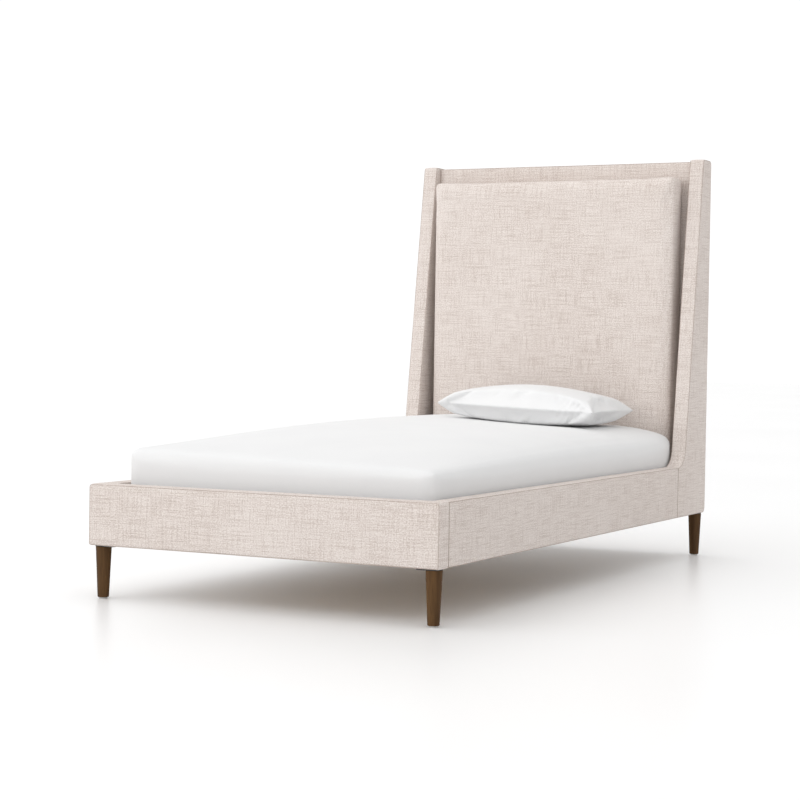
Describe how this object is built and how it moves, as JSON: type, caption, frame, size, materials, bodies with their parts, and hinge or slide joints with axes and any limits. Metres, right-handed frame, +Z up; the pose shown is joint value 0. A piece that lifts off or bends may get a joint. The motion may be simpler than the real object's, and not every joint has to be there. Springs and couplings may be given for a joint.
{
  "type": "upholstered headboard bed",
  "caption": "Low twin bed covered in linen weave, with a tall winged headboard, hung backrest cushion, tapered wooden legs, mattress and pillow.",
  "frame": {"origin": "on the floor under the middle of the bed", "axes": "+X to the right as seen from the foot of the bed, +Y from the foot towards the headboard, +Z up"},
  "size_m": [1.092, 2.18, 1.397],
  "materials": {
    "linen": "matte heathered linen weave",
    "cotton_sheet": "smooth matte cotton",
    "foam": "open-cell foam",
    "mattress_core": "quilted ticking",
    "pillow_fill": "matte",
    "webbing": "woven",
    "leg_wood": "satin dark stain, vertical grain",
    "frame_wood": "raw board",
    "slat_wood": "planed softwood",
    "black_steel": "black powder coat",
    "zinc_steel": "zinc plated",
    "glide_plastic": "translucent"
  },
  "bodies": {
    "bed_frame": {"bracket_bolts": "zinc_steel", "corner_brackets": "black_steel", "cushion_board": "frame_wood", "cushion_clips": "zinc_steel", "cushion_cover": "linen", "cushion_foam": "foam", "footboard_board": "frame_wood", "footboard_cover": "linen", "footboard_foam": "foam", "hanger_bolts": "zinc_steel", "headboard_bottom_rail": "frame_wood", "headboard_cover": "linen", "headboard_foam": "foam", "headboard_middle_rail": "frame_wood", "headboard_panel": "frame_wood", "headboard_rear_cover": "linen", "headboard_stile_left": "frame_wood", "headboard_stile_right": "frame_wood", "headboard_top_rail": "frame_wood", "joining_plates": "black_steel", "leg_front_left": "leg_wood", "leg_front_right": "leg_wood", "leg_glides": "glide_plastic", "leg_plate_screws": "zinc_steel", "leg_plates": "black_steel", "leg_rear_left": "leg_wood", "leg_rear_right": "leg_wood", "side_rail_board_left": "frame_wood", "side_rail_board_right": "frame_wood", "side_rail_cover_left": "linen", "side_rail_cover_right": "linen", "side_rail_foam_left": "foam", "side_rail_foam_right": "foam", "slat_01": "slat_wood", "slat_02": "slat_wood", "slat_03": "slat_wood", "slat_04": "slat_wood", "slat_05": "slat_wood", "slat_06": "slat_wood", "slat_07": "slat_wood", "slat_08": "slat_wood", "slat_09": "slat_wood", "slat_10": "slat_wood", "slat_11": "slat_wood", "slat_12": "slat_wood", "slat_ledger_left": "slat_wood", "slat_ledger_right": "slat_wood", "slat_screws": "zinc_steel", "slat_tapes": "webbing", "wing_core_left": "frame_wood", "wing_core_right": "frame_wood", "wing_cover_left": "linen", "wing_cover_right": "linen", "wing_foam_left": "foam", "wing_foam_right": "foam", "wing_screws": "zinc_steel"},
    "bedding": {"mattress": "mattress_core", "fitted_sheet": "cotton_sheet"},
    "head_pillow": {"pillow": "pillow_fill", "pillowcase": "cotton_sheet"}
  },
  "joints": [
    {"name": "mattress_lift", "type": "slide", "parent": "bed_frame", "child": "bedding", "axis": [0, 0, 1], "range_m": [0, 0.4]},
    {"name": "pillow_lift", "type": "slide", "parent": "bedding", "child": "head_pillow", "axis": [0, 0, 1], "range_m": [0, 0.4]}
  ]
}
